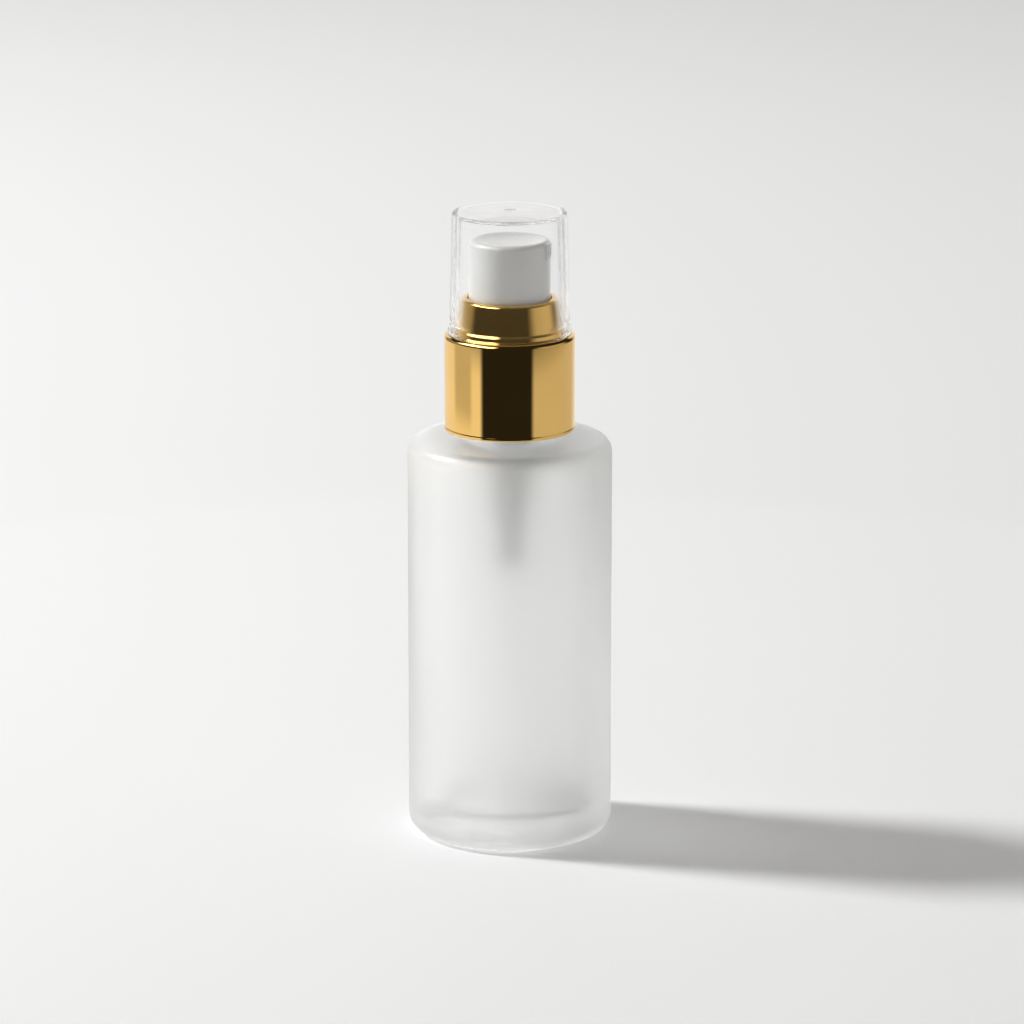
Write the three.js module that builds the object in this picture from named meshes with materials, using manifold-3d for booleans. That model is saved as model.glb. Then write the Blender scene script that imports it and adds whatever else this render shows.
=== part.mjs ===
// A 50 ml pump bottle for body and massage oil: a frosted glass bottle with a screw neck, a gold
// collar, a white press-down pump head with a side nozzle, and a clear push-on overcap.
//
// Units are millimetres. +Z is up, Z = 0 is the surface the bottle stands on, the Z axis is the axis
// of the bottle and the pump, and the nozzle points along +X.
import * as THREE from "three";
import { mergeVertices } from "three/addons/utils/BufferGeometryUtils.js";
import Module from "manifold-3d";

const wasm = await Module();
wasm.setup();

// ---------------------------------------------------------------- driving dimensions
const SIDES = 48; // facets round a large turned part
const SMALL_SIDES = 32; // facets round a part under about 10 mm across
const TINY_SIDES = 20; // facets round a pin, a bore or a ball
const GAP = 0.1; // play between parts that are fitted together

// Glass bottle
const BODY_R = 18.5;
const BODY_WALL = 2.5;
const BASE_THICKNESS = 5.3;
const HEEL_R = 3.2; // outer round between base and side
const SHOULDER_Z = 73.5; // rim of the shoulder
const SHOULDER_R = 2.7; // outer round between side and shoulder
const PUSH_UP = 0.7; // depth of the hollow under the base
const BEARING_R = 12; // inner edge of the flat ring the bottle stands on

// Screw neck, one turn and a bit of right-hand thread
const NECK_R = 8.75;
const NECK_BORE_R = 6.7;
const NECK_TOP = 84.4;
const NECK_COVE_R = 3.0; // hollow round between shoulder and neck
const THREAD_R = 9.75; // crest of the glass thread
const THREAD_PITCH = 3.175;
const THREAD_TURNS = 1.2;
const THREAD_Z = 78.6; // middle of the glass thread where it starts

// Gold collar
const COLLAR_R = 11.85;
const COLLAR_BOTTOM = 75.1;
const LEDGE_Z = 92.7; // step that the overcap stands on
const RING_FOOT_R = 9.62; // tapered ring above the step
const RING_TOP_R = 8.72;
const RING_TOP = 99.2;
const SHELL_WALL = 0.45;

// Pump head
const HEAD_R = 7.35;
const HEAD_BOTTOM = 94.0;
const HEAD_TOP = 109.8;
const HEAD_WALL = 1.1;
const NOZZLE_Z = 107.7;
const NOZZLE_R = 0.88;

// Overcap
const CAP_BOTTOM = LEDGE_Z + 0.05;
const CAP_TOP = 114.85; // at the rim, below the slight dome
const CAP_FOOT_R = 11.15;
const CAP_LOW_R = 10.82; // outer radius above the foot
const CAP_HIGH_R = 10.32; // outer radius below the top, which gives the moulding draft
const CAP_WALL = 0.95;

// Pump below the collar
const CYLINDER_R = 4.3;
const CYLINDER_BORE_R = 3.3;
const CYLINDER_FOOT = 60.9; // ledge in the cylinder that the spring stands on
const INLET_Z = 49.5; // lower end of the socket for the dip tube
const FLANGE_R = 8.5;
const FLANGE_BOTTOM = 85.4;
const FLANGE_TOP = 86.2;
const TURRET_R = 6.0;
const TURRET_TOP = 89.0;
const STEM_R = 1.85;
const STEM_BORE_R = 0.95;
const STEM_TOP = 104.5;
const STEM_FOOT_Z = 79.0;
const STEM_STOP_Z = 80.2; // top of the stem's foot, which stops against the guide
const ROD_R = 0.7;
const ROD_HEAD_Z = 71.8; // underside of the valve head at the rod's lower end
const BALL_R = 1.5;
const BALL_Z = 57.82; // centre of the ball on its seat
const TUBE_R = 1.55;
const TUBE_BORE_R = 1.1;

// Inner screw closure
const CLOSURE_R = COLLAR_R - SHELL_WALL - GAP;
const CLOSURE_BOTTOM = 75.4;
const CLOSURE_BORE_R = THREAD_R + 0.25;
const CLOSURE_THREAD_R = NECK_R + 0.3; // crest of the closure's own thread
const CLOSURE_SHELF = FLANGE_TOP + GAP; // underside of the shelf that holds the pump down
const CLOSURE_SHELF_TOP = 87.6;
const GUIDE_BORE_R = HEAD_R + 0.4;

// ---------------------------------------------------------------- materials
const look = (color, roughness, metalness = 0, opacity = 1) => ({
  color,
  roughness,
  metalness,
  opacity,
  transparent: opacity < 1,
});
const FROSTED_GLASS = look(0xe6e8e6, 0.55, 0, 0.8);
const GOLD = look(0xd9a441, 0.12, 1);
const WHITE_PLASTIC = look(0xf1f1ef, 0.3);
const CLEAR_PLASTIC = look(0xf6f8f8, 0.05, 0, 0.25);
const NATURAL_PLASTIC = look(0xe4e6e2, 0.4, 0, 0.85);
const FOAM = look(0xf4f4f0, 0.9);
const STEEL = look(0xb9bcc0, 0.25, 1);

// ---------------------------------------------------------------- shape helpers
const point = (r, z) => new THREE.Vector2(r, z);

// Points of a round in the (radius, height) plane, from one angle to the other, in degrees.
function arc(centreR, centreZ, radius, from, to, steps = 3) {
  return Array.from({ length: steps + 1 }, (_, i) => {
    const angle = THREE.MathUtils.degToRad(from + ((to - from) * i) / steps);
    return point(centreR + radius * Math.cos(angle), centreZ + radius * Math.sin(angle));
  });
}

// Turns an outline about the Z axis. The outline runs anticlockwise in the (radius, height) plane,
// and either starts and ends on the axis or is closed here.
function turned(outline, sides = SIDES) {
  const first = outline[0];
  const last = outline[outline.length - 1];
  const onAxis = first.x === 0 && last.x === 0;
  const profile = onAxis ? outline : [...outline, first.clone()];
  return new THREE.LatheGeometry(profile, sides).rotateX(Math.PI / 2);
}

// A plain washer or tube between two heights.
const tube = (outerR, innerR, low, high, sides = SIDES) =>
  turned([point(innerR, low), point(outerR, low), point(outerR, high), point(innerR, high)], sides);

// A plain round bar between two heights.
const bar = (radius, low, high, sides = TINY_SIDES) =>
  turned([point(0, low), point(radius, low), point(radius, high), point(0, high)], sides);

// Lays a shape that stands on Z = 0 along +X, starting at the given X and centred on the given height.
const alongX = (geometry, x, z) => geometry.rotateY(Math.PI / 2).translate(x, 0, z);

// three.js geometry to a solid that can be cut and joined, and back.
function solid(geometry) {
  const bare = new THREE.BufferGeometry();
  bare.setAttribute("position", geometry.getAttribute("position").clone());
  bare.setIndex(geometry.getIndex());
  const merged = mergeVertices(bare, 1e-4);
  return new wasm.Manifold(
    new wasm.Mesh({
      numProp: 3,
      vertProperties: merged.getAttribute("position").array,
      triVerts: new Uint32Array(merged.getIndex().array),
    }),
  );
}

function geometryOf(manifold) {
  const { vertProperties, triVerts } = manifold.getMesh();
  return new THREE.BufferGeometry()
    .setAttribute("position", new THREE.BufferAttribute(vertProperties, 3))
    .setIndex(new THREE.BufferAttribute(triVerts, 1));
}

// A screw thread: a straight bar with the thread's section, wrapped round the axis as a helix.
// rootR lies inside the wall that carries the thread, and the thread runs out to crestR at full
// height. It fades to nothing over its first and last eighth of a turn.
function screwThread({ rootR, crestR, rootHalf, crestHalf, startZ, turns, sides = SIDES }) {
  const section = new THREE.Shape([
    point(0, -rootHalf),
    point(1, -crestHalf),
    point(1, crestHalf),
    point(0, rootHalf),
  ]);
  const steps = Math.round(turns * sides);
  const wrapped = new THREE.ExtrudeGeometry(section, { depth: turns, steps, bevelEnabled: false });
  const fade = 0.125;
  const position = wrapped.getAttribute("position");
  for (let i = 0; i < position.count; i++) {
    const along = position.getZ(i);
    const turn = crestR > rootR ? turns - along : along; // keeps the faces pointing outward
    const share = Math.min(1, turn / fade, (turns - turn) / fade);
    const height = 0.15 + 0.85 * THREE.MathUtils.smoothstep(share, 0, 1);
    const r = rootR + (crestR - rootR) * position.getX(i) * height;
    const angle = 2 * Math.PI * (turn + 0.3 / sides);
    const z = startZ + THREAD_PITCH * turn + position.getY(i);
    position.setXYZ(i, r * Math.cos(angle), r * Math.sin(angle), z);
  }
  return wrapped;
}

const part = new THREE.Group();

function add(name, geometry, finish) {
  const mesh = new THREE.Mesh(geometry, new THREE.MeshStandardMaterial(finish));
  mesh.name = name;
  part.add(mesh);
}

// ---------------------------------------------------------------- glass
// One blown piece: thick base with a push-up, straight side, sloping shoulder and threaded neck.
function bottle() {
  const innerR = BODY_R - BODY_WALL;
  const innerHeel = 3.2;
  const coveZ = SHOULDER_Z + 3.67;
  const outline = [
    point(0, PUSH_UP),
    point(BEARING_R * 0.55, PUSH_UP * 0.7),
    point(BEARING_R, 0),
    ...arc(BODY_R - HEEL_R, HEEL_R, HEEL_R, -90, 0, 4),
    ...arc(BODY_R - SHOULDER_R, SHOULDER_Z - SHOULDER_R, SHOULDER_R, 0, 82, 3),
    ...arc(NECK_R + NECK_COVE_R, coveZ, NECK_COVE_R, -98.6, -180, 4),
    point(NECK_R, NECK_TOP - 0.4),
    point(NECK_R - 0.4, NECK_TOP),
    point(NECK_BORE_R, NECK_TOP),
    ...arc(NECK_BORE_R + 2.4, SHOULDER_Z + 0.6, 2.4, 180, 262, 2),
    ...arc(innerR - 2.6, SHOULDER_Z - 4.7, 2.6, 84, 0, 2),
    ...arc(innerR - innerHeel, BASE_THICKNESS + innerHeel, innerHeel, 0, -90, 3),
    point(0, BASE_THICKNESS),
  ];
  const thread = screwThread({
    rootR: NECK_R - 0.4,
    crestR: THREAD_R,
    rootHalf: 1.0,
    crestHalf: 0.45,
    startZ: THREAD_Z,
    turns: THREAD_TURNS,
    sides: 40,
  });
  return geometryOf(solid(turned(outline)).add(solid(thread)));
}

// ---------------------------------------------------------------- collar
// One drawn aluminium shell: a straight skirt, a step for the overcap, and a tapered ring whose top
// edge turns in towards the pump head.
function collarShell() {
  const t = SHELL_WALL;
  const corner = 0.7;
  const cove = 0.5;
  const rim = 0.6;
  const lipR = HEAD_R + 0.3;
  return turned([
    point(COLLAR_R - t, COLLAR_BOTTOM),
    point(COLLAR_R - 0.15, COLLAR_BOTTOM),
    point(COLLAR_R, COLLAR_BOTTOM + 0.2),
    ...arc(COLLAR_R - corner, LEDGE_Z - corner, corner, 0, 90),
    ...arc(RING_FOOT_R + cove, LEDGE_Z + cove, cove, -90, -170, 2),
    ...arc(RING_TOP_R - rim, RING_TOP - rim, rim, 9, 90),
    point(lipR, RING_TOP),
    point(lipR, RING_TOP - t),
    point(RING_TOP_R - rim, RING_TOP - t),
    point(RING_TOP_R - t, RING_TOP - rim - 0.1),
    point(RING_FOOT_R - t, LEDGE_Z + cove),
    point(RING_FOOT_R, LEDGE_Z - t),
    point(COLLAR_R - corner, LEDGE_Z - t),
    point(COLLAR_R - t, LEDGE_Z - corner),
  ]);
}

// The moulded screw closure inside the shell: a threaded skirt, a shelf that clamps the pump to the
// neck, an outer wall that carries the step, and a sleeve that guides the pump head.
function closure() {
  const sleeveFootR = RING_FOOT_R - SHELL_WALL - GAP;
  const sleeveTopR = RING_TOP_R - SHELL_WALL - GAP;
  const wallTop = LEDGE_Z - SHELL_WALL - GAP;
  const sleeveTop = RING_TOP - SHELL_WALL - 0.6;
  const body = turned([
    point(CLOSURE_BORE_R, CLOSURE_BOTTOM),
    point(CLOSURE_R, CLOSURE_BOTTOM),
    point(CLOSURE_R, wallTop - 0.7),
    point(CLOSURE_R - 0.7, wallTop),
    point(CLOSURE_R - 1.1, wallTop),
    point(CLOSURE_R - 1.1, CLOSURE_SHELF_TOP),
    point(sleeveFootR - 0.2, CLOSURE_SHELF_TOP),
    point(sleeveFootR - 0.2, LEDGE_Z),
    point(sleeveTopR, sleeveTop),
    point(GUIDE_BORE_R, sleeveTop),
    point(GUIDE_BORE_R, CLOSURE_SHELF_TOP),
    point(TURRET_R + 0.3, CLOSURE_SHELF_TOP),
    point(TURRET_R + 0.3, CLOSURE_SHELF),
    point(CLOSURE_BORE_R, CLOSURE_SHELF),
  ]);
  const thread = screwThread({
    rootR: CLOSURE_BORE_R + 0.4,
    crestR: CLOSURE_THREAD_R,
    rootHalf: 0.7,
    crestHalf: 0.3,
    startZ: THREAD_Z - 1.4,
    turns: 1,
    sides: 40,
  });
  return geometryOf(solid(body).add(solid(thread)));
}

// ---------------------------------------------------------------- pump head
// A moulded cup with a dished top, a raised nozzle pad, and inside it a boss that grips the stem and
// a channel from the boss to the nozzle.
function actuator() {
  const edge = 1.0;
  const roof = HEAD_TOP - 1.6;
  const bossR = 3.1;
  const bossBottom = 98.5;
  const socketTop = STEM_TOP + 0.3;
  const dishR = 6.0;
  const dishDepth = 0.55;
  const padDepth = 0.22;
  const padHalf = 1.2;
  const channelR = 0.65;

  const cup = turned([
    point(0, roof),
    point(HEAD_R - HEAD_WALL, roof),
    point(HEAD_R - HEAD_WALL, HEAD_BOTTOM),
    point(HEAD_R, HEAD_BOTTOM),
    ...arc(HEAD_R - edge, HEAD_TOP - edge, edge, 0, 90, 4),
    point(dishR, HEAD_TOP),
    point(dishR * 0.75, HEAD_TOP - dishDepth * 0.44),
    point(dishR * 0.4, HEAD_TOP - dishDepth * 0.84),
    point(0, HEAD_TOP - dishDepth),
  ]);
  const boss = bar(bossR, bossBottom, roof + 0.3, SMALL_SIDES);
  const spout = alongX(bar(1.5, 0, HEAD_R - 0.5, TINY_SIDES), 0, NOZZLE_Z);

  const padShape = new THREE.Shape();
  padShape.moveTo(padHalf, 0);
  padShape.lineTo(padHalf, HEAD_TOP - 0.25 - NOZZLE_Z);
  padShape.lineTo(-padHalf, HEAD_TOP - 0.25 - NOZZLE_Z);
  padShape.lineTo(-padHalf, 0);
  padShape.absarc(0, 0, padHalf, Math.PI, 2 * Math.PI, false);
  const padLength = 1.2;
  const pad = new THREE.ExtrudeGeometry(padShape, { depth: padLength, bevelEnabled: false })
    .rotateX(Math.PI / 2)
    .rotateZ(Math.PI / 2)
    .translate(HEAD_R + padDepth - padLength, 0, NOZZLE_Z);

  const socket = bar(STEM_R + GAP, bossBottom - 1, socketTop);
  const riser = bar(STEM_BORE_R, socketTop - 0.5, NOZZLE_Z + 0.3);
  const channel = alongX(bar(channelR, 0, HEAD_R, TINY_SIDES), 0, NOZZLE_Z);
  const insertSeat = alongX(bar(NOZZLE_R + 0.06, 0, 3, TINY_SIDES), HEAD_R + padDepth - 1.6, NOZZLE_Z);
  return geometryOf(
    solid(cup)
      .add(solid(boss))
      .add(solid(spout))
      .add(solid(pad))
      .subtract(solid(socket))
      .subtract(solid(riser))
      .subtract(solid(channel))
      .subtract(solid(insertSeat)),
  );
}

// The orifice cup pressed into the side of the pump head.
function nozzleInsert() {
  const length = 1.5;
  const face = 0.5;
  const orificeR = 0.28;
  const cup = turned([
    point(orificeR, 0),
    point(NOZZLE_R, 0),
    point(NOZZLE_R, length),
    point(0.6, length),
    point(0.6, face),
    point(orificeR, face),
  ], TINY_SIDES);
  return cup.rotateY(-Math.PI / 2).translate(HEAD_R + 0.18, 0, NOZZLE_Z);
}

// The clear overcap: a drafted cup with a small foot, an inner bead that snaps over the ring of the
// collar, a barely domed top and the gate mark in its middle.
function overcap() {
  const edge = 0.55;
  const dome = 0.2;
  const roof = CAP_TOP - 0.85;
  const gateR = 0.8;
  const innerHighR = CAP_HIGH_R - CAP_WALL;
  const innerLowR = CAP_LOW_R - CAP_WALL;
  const beadR = RING_FOOT_R + 0.05;
  return turned([
    point(0, roof),
    point(innerHighR - 0.4, roof),
    point(innerHighR, roof - 0.4),
    point(innerLowR, CAP_BOTTOM + 1.9),
    point(beadR, CAP_BOTTOM + 1.4),
    point(beadR, CAP_BOTTOM + 0.9),
    point(innerLowR + 0.1, CAP_BOTTOM + 0.4),
    point(innerLowR + 0.2, CAP_BOTTOM),
    point(CAP_FOOT_R, CAP_BOTTOM),
    point(CAP_FOOT_R, CAP_BOTTOM + 0.5),
    point(CAP_LOW_R + 0.08, CAP_BOTTOM + 1.3),
    point(CAP_LOW_R, CAP_BOTTOM + 2),
    ...arc(CAP_HIGH_R - edge, CAP_TOP - edge, edge, 0, 90),
    point(gateR, CAP_TOP + dome),
    point(gateR * 0.8, CAP_TOP + dome - 0.15),
    point(0, CAP_TOP + dome - 0.15),
  ]);
}

// ---------------------------------------------------------------- pump below the collar
// The cylinder: a flange that sits on the neck, a turret above it, the bore for the piston, a lipped
// chamber for the inlet ball and a socket for the dip tube.
function pumpHousing() {
  const chamberR = BALL_R + 0.4;
  const lipR = 1.3;
  const seatZ = 56.6;
  const throatR = 0.95;
  const socketR = TUBE_R + GAP;
  const socketTop = 55.6;
  const spigotR = 2.75;
  return turned([
    point(socketR, INLET_Z),
    point(spigotR - 0.3, INLET_Z),
    point(spigotR, INLET_Z + 0.6),
    point(spigotR, 58.6),
    point(CYLINDER_R, 62.2),
    point(CYLINDER_R, FLANGE_BOTTOM),
    point(FLANGE_R, FLANGE_BOTTOM),
    point(FLANGE_R, FLANGE_TOP),
    point(TURRET_R, FLANGE_TOP),
    point(TURRET_R, TURRET_TOP),
    point(TURRET_R - 0.9, TURRET_TOP),
    point(TURRET_R - 0.9, FLANGE_TOP),
    point(CYLINDER_BORE_R, FLANGE_TOP),
    point(CYLINDER_BORE_R, CYLINDER_FOOT),
    point(lipR, CYLINDER_FOOT),
    point(lipR, CYLINDER_FOOT - 1.2),
    point(chamberR, CYLINDER_FOOT - 1.5),
    point(chamberR, seatZ + 0.9),
    point(throatR, seatZ),
    point(throatR, socketTop),
    point(socketR, socketTop),
  ], SMALL_SIDES);
}

// The cap that closes the turret and guides the stem.
function housingCap() {
  const guideBoreR = STEM_R + 0.15;
  const plugBottom = FLANGE_TOP + GAP;
  const guideBottom = STEM_STOP_Z + GAP;
  return turned([
    point(guideBoreR, guideBottom),
    point(CYLINDER_BORE_R - GAP, guideBottom),
    point(CYLINDER_BORE_R - GAP, plugBottom),
    point(TURRET_R - 1, plugBottom),
    point(TURRET_R - 1, TURRET_TOP + GAP),
    point(TURRET_R, TURRET_TOP + GAP),
    point(TURRET_R, TURRET_TOP + 0.9),
    point(TURRET_R - 0.3, TURRET_TOP + 1.2),
    point(guideBoreR, TURRET_TOP + 1.2),
  ], SMALL_SIDES);
}

// The washer that seals the pump's flange to the top of the neck.
const neckGasket = () => tube(FLANGE_R, CYLINDER_R + GAP, NECK_TOP + 0.05, FLANGE_BOTTOM - 0.05, SMALL_SIDES);

// The hollow stem that carries the pump head, with a foot that pushes the piston down.
function stem() {
  const footR = 2.6;
  return turned([
    point(STEM_BORE_R, STEM_FOOT_Z),
    point(footR, STEM_FOOT_Z),
    point(footR, STEM_STOP_Z),
    point(STEM_R, STEM_STOP_Z),
    point(STEM_R, STEM_TOP - 0.4),
    point(STEM_R - 0.3, STEM_TOP),
    point(STEM_BORE_R, STEM_TOP),
  ], TINY_SIDES);
}

// The rod held in the stem's bore. Its head closes the piston from below, and the spring lifts it.
function pistonRod() {
  const headR = 2.8;
  return turned([
    point(0, ROD_HEAD_Z - 1.2),
    point(1.3, ROD_HEAD_Z - 1.2),
    point(1.5, ROD_HEAD_Z),
    point(headR, ROD_HEAD_Z),
    point(headR, ROD_HEAD_Z + 1.0),
    point(1.2, ROD_HEAD_Z + 2.1),
    point(ROD_R, ROD_HEAD_Z + 2.1),
    point(ROD_R, ROD_HEAD_Z + 12),
    point(0, ROD_HEAD_Z + 12),
  ], TINY_SIDES);
}

// The soft piston: a waisted sleeve with a wiping lip at each end.
function piston() {
  const lipR = CYLINDER_BORE_R - 0.05;
  const waistR = 2.75;
  const boreR = 1.45;
  const low = ROD_HEAD_Z + 2.3;
  const high = STEM_FOOT_Z - GAP;
  return turned([
    point(boreR, low),
    point(2.4, low),
    point(lipR, low - 0.4),
    point(lipR, low + 0.5),
    point(waistR, low + 1.4),
    point(waistR, high - 1.4),
    point(lipR, high - 0.5),
    point(lipR, high),
    point(2.7, high - 0.3),
    point(boreR, high - 0.3),
  ], SMALL_SIDES);
}

// The return spring, a coil between the cylinder's ledge and the rod's head.
function returnSpring() {
  const wireR = 0.28;
  const coilR = 2.4;
  const turns = 6;
  const stepsPerTurn = 16;
  const low = CYLINDER_FOOT + wireR + 0.05;
  const high = ROD_HEAD_Z - wireR - 0.05;
  class Coil extends THREE.Curve {
    getPoint(share, target = new THREE.Vector3()) {
      const angle = 2 * Math.PI * turns * share;
      return target.set(coilR * Math.cos(angle), coilR * Math.sin(angle), low + (high - low) * share);
    }
  }
  const wire = new THREE.Shape().absarc(0, 0, wireR, 0, 2 * Math.PI, false);
  return new THREE.ExtrudeGeometry(wire, {
    steps: turns * stepsPerTurn,
    curveSegments: 3,
    extrudePath: new Coil(),
  });
}

// The ball that lets oil in from the dip tube and keeps it in the cylinder on the down stroke.
const inletBall = () => new THREE.SphereGeometry(BALL_R, 16, 12).rotateX(Math.PI / 2).translate(0, 0, BALL_Z);

// The dip tube. It leaves the housing straight down and curls towards the edge of the base.
function dipTube() {
  const route = new THREE.CubicBezierCurve3(
    new THREE.Vector3(0, 0, 55.4),
    new THREE.Vector3(0, 0, 30),
    new THREE.Vector3(5.5, 0, 20),
    new THREE.Vector3(11.2, 0, 7.4),
  );
  const wall = new THREE.Shape().absarc(0, 0, TUBE_R, 0, 2 * Math.PI, false);
  wall.holes.push(new THREE.Path().absarc(0, 0, TUBE_BORE_R, 0, 2 * Math.PI, true));
  return new THREE.ExtrudeGeometry(wall, { steps: 16, curveSegments: 8, extrudePath: route });
}

// ---------------------------------------------------------------- assembly
add("bottle", bottle(), FROSTED_GLASS);
add("collar_shell", collarShell(), GOLD);
add("closure", closure(), WHITE_PLASTIC);
add("overcap", overcap(), CLEAR_PLASTIC);
add("actuator", actuator(), WHITE_PLASTIC);
add("nozzle_insert", nozzleInsert(), WHITE_PLASTIC);
add("stem", stem(), NATURAL_PLASTIC);
add("piston_rod", pistonRod(), NATURAL_PLASTIC);
add("piston", piston(), NATURAL_PLASTIC);
add("return_spring", returnSpring(), STEEL);
add("inlet_ball", inletBall(), STEEL);
add("pump_housing", pumpHousing(), NATURAL_PLASTIC);
add("housing_cap", housingCap(), WHITE_PLASTIC);
add("neck_gasket", neckGasket(), FOAM);
add("dip_tube", dipTube(), NATURAL_PLASTIC);

export default part;
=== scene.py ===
"""A frosted glass pump bottle for massage oil, with a gold collar, a white head and a clear overcap.

Lengths are in millimetres unless a name ends in _M. Pieces are turned about the frame's Z axis or swept
along a route. Z = 0 is the surface the bottle stands on, and +X is the way the nozzle points.
"""
import math

import bmesh
import bpy
from mathutils import Matrix, Vector, noise


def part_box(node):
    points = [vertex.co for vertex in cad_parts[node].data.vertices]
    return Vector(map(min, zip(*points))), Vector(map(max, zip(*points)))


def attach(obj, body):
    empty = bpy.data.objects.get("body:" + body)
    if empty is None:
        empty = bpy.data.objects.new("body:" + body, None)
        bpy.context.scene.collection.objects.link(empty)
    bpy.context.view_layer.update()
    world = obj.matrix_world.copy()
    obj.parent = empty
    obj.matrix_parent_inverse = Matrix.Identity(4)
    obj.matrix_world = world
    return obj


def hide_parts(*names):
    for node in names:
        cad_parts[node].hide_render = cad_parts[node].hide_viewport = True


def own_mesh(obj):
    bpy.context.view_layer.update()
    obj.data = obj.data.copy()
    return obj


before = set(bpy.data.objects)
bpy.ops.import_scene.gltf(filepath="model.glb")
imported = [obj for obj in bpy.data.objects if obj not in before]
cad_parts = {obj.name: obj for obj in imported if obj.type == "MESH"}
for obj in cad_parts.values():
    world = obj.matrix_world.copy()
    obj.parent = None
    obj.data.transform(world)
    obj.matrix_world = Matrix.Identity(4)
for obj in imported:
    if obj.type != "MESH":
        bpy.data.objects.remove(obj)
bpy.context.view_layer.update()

MM = 0.001
TAU = 2 * math.pi
TINY = 1e-6  # radii closer together than this are the same
scene = bpy.context.scene


def low(node):
    """The lowest height of a CAD node at rest."""
    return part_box(node)[0].z / MM


def high(node):
    """The greatest height of a CAD node at rest."""
    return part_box(node)[1].z / MM


def radius(node):
    """How far a CAD node reaches from the middle, sideways."""
    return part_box(node)[1].y / MM


def placed(name, data):
    """A new object in the scene."""
    made = bpy.data.objects.new(name, data)
    scene.collection.objects.link(made)
    return made


# ---------------------------------------------------------------- camera
LENS = 195.1
CAMERA_AZIMUTH = math.radians(20)
CAMERA_DISTANCE_M = 0.97575  # along the floor, from the bottle's axis
CAMERA_HEIGHT_M = 0.305
CAMERA_TILT = math.radians(14.13)  # down from level
CAMERA_ROLL = math.radians(-0.03)
CAMERA_SIDE_M = 0.0004  # how far the camera stands to the right of the bottle's axis


def studio(right, away, up):
    """A point in the frame, given in metres to the camera's right, away from it and up."""
    c, s = math.cos(CAMERA_AZIMUTH), math.sin(CAMERA_AZIMUTH)
    return Vector((right * c - away * s, right * s + away * c, up))


def make_camera():
    data = bpy.data.cameras.new("camera")
    data.lens = LENS
    data.sensor_width = 36
    data.clip_start = 0.05
    data.clip_end = 50
    camera = placed("camera", data)
    camera.location = studio(CAMERA_SIDE_M, -CAMERA_DISTANCE_M, CAMERA_HEIGHT_M)
    heading = Matrix.Rotation(CAMERA_AZIMUTH, 4, "Z")
    tilt = Matrix.Rotation(math.pi / 2 - CAMERA_TILT, 4, "X")
    camera.rotation_euler = (heading @ tilt @ Matrix.Rotation(CAMERA_ROLL, 4, "Z")).to_euler()
    scene.camera = camera


make_camera()

# ---------------------------------------------------------------- dimensions shared by pieces
SIDES = 192  # facets round the largest pieces
SHARP_EDGE = math.radians(34)

BODY_R = radius("bottle")
BODY_WALL = 2.5
BASE_THICKNESS = 5.3
NECK_TOP = high("bottle")
NECK_R = 8.75
NECK_BORE_R = 6.7
SHOULDER_EDGE_Z = 73.126  # where the side and the shoulder's slope would meet
SHOULDER_INNER_Z = 74.586  # where the slope would meet the neck
SHOULDER_R = 2.7
NECK_COVE_R = 3.0

THREAD_R = 9.75
THREAD_PITCH = 3.175
THREAD_TURNS = 1.2
THREAD_Z = 78.6  # middle of the thread where it starts
THREAD_FADE = 0.12  # the part of a turn in which a thread's end rises
THREAD_ROW = 0.16  # height of a row of faces where there is a thread

COLLAR_R = radius("collar_shell")
COLLAR_BOTTOM = low("collar_shell")
RING_TOP = high("collar_shell")
LEDGE_Z = 92.7
RING_FOOT_R = 9.62
RING_TOP_R = 8.72
SHELL_WALL = 0.45

HEAD_R = radius("actuator")
HEAD_BOTTOM = low("actuator")
HEAD_TOP = high("actuator")
NOZZLE_Z = 107.7
NOZZLE_R = radius("nozzle_insert")

CAP_BOTTOM = low("overcap")
CAP_TOP = high("overcap") - 0.2  # at the rim, below the slight dome
CAP_FOOT_R = radius("overcap")
CAP_LOW_R = 10.82
CAP_HIGH_R = 10.32
CAP_WALL = 0.95


# ---------------------------------------------------------------- mesh helpers
def rounded(corners, closed=False, steps=6):
    """An outline in the (radius, height) plane. A corner is (r, z), or (r, z, fillet) if rounded."""
    count = len(corners)
    outline = []
    for i, corner in enumerate(corners):
        here = Vector(corner[:2])
        fillet = corner[2] if len(corner) > 2 else 0
        if fillet == 0 or (not closed and i in (0, count - 1)):
            outline.append(here)
            continue
        before = (Vector(corners[i - 1][:2]) - here).normalized()
        after = (Vector(corners[(i + 1) % count][:2]) - here).normalized()
        half = before.angle(after) / 2
        centre = here + (before + after).normalized() * (fillet / math.sin(half))
        start = here + before * (fillet / math.tan(half)) - centre
        sweep = start.angle_signed(here + after * (fillet / math.tan(half)) - centre)
        for k in range(steps + 1):
            outline.append(centre + start @ Matrix.Rotation(sweep * k / steps, 2))
    return outline


def divided(start, end, step):
    """Points from start up to but not including end, no more than a step apart."""
    start, end = Vector(start), Vector(end)
    pieces = max(1, math.ceil((end - start).length / step))
    return [tuple(start.lerp(end, k / pieces)) for k in range(pieces)]


def new_piece(name, mesh, body, slot, node, *materials):
    """Puts a finished mesh in the scene as a piece that stands for a CAD node."""
    piece = placed(name, mesh)
    for material in materials:
        mesh.materials.append(material)
    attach(piece, body)
    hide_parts(node)
    return piece


def built(build, name):
    """The mesh of a finished bmesh."""
    mesh = bpy.data.meshes.new(name)
    build.to_mesh(mesh)
    build.free()
    return mesh


def strip(build, lower, upper):
    """A closed strip of faces between two rings of vertices."""
    for k in range(len(lower)):
        after = (k + 1) % len(lower)
        build.faces.new([lower[k], lower[after], upper[after], upper[k]])


def finished(mesh):
    """The same mesh, shaded smooth apart from its sharp edges."""
    mesh.validate()
    for polygon in mesh.polygons:
        polygon.use_smooth = True
    mesh.set_sharp_from_angle(angle=SHARP_EDGE)
    mesh.update()
    return mesh


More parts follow.
